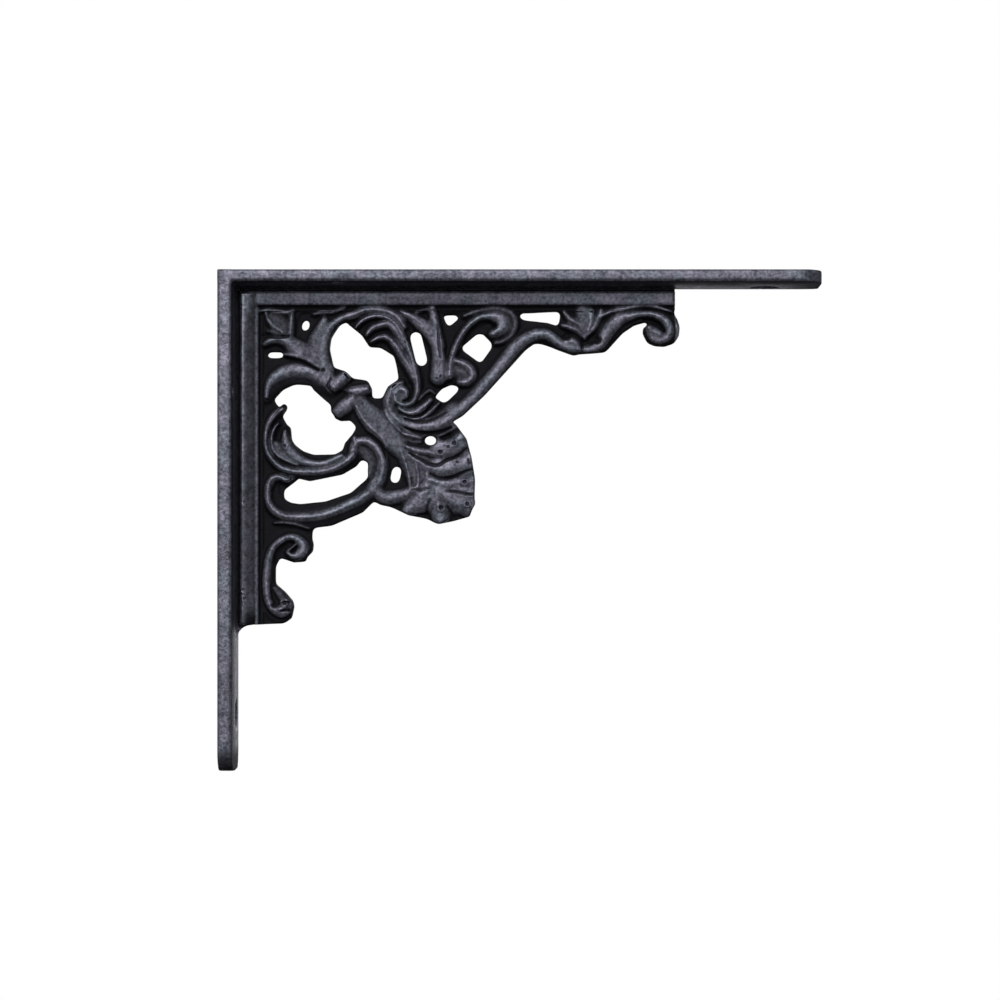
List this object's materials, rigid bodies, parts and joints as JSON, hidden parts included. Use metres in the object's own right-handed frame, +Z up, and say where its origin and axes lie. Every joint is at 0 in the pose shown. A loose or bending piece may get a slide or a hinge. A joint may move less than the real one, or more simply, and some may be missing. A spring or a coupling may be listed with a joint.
{
  "type": "shelf bracket",
  "caption": "Cast iron shelf bracket: a wall leg and a longer shelf leg at a right angle, joined by a pierced web of leaf and shell scrollwork.",
  "frame": {"origin": "on the face that lies against the wall, at the middle of the wall leg's height and of its width", "axes": "+X out from the wall along the shelf leg, +Z up, Y across the width of the legs"},
  "size_m": [0.152, 0.022, 0.126],
  "materials": {
    "cast_iron": "near-black sand-cast iron, satin, fine speckled grain"
  },
  "bodies": {
    "root": {"bracket_casting": "cast_iron"}
  },
  "joints": []
}
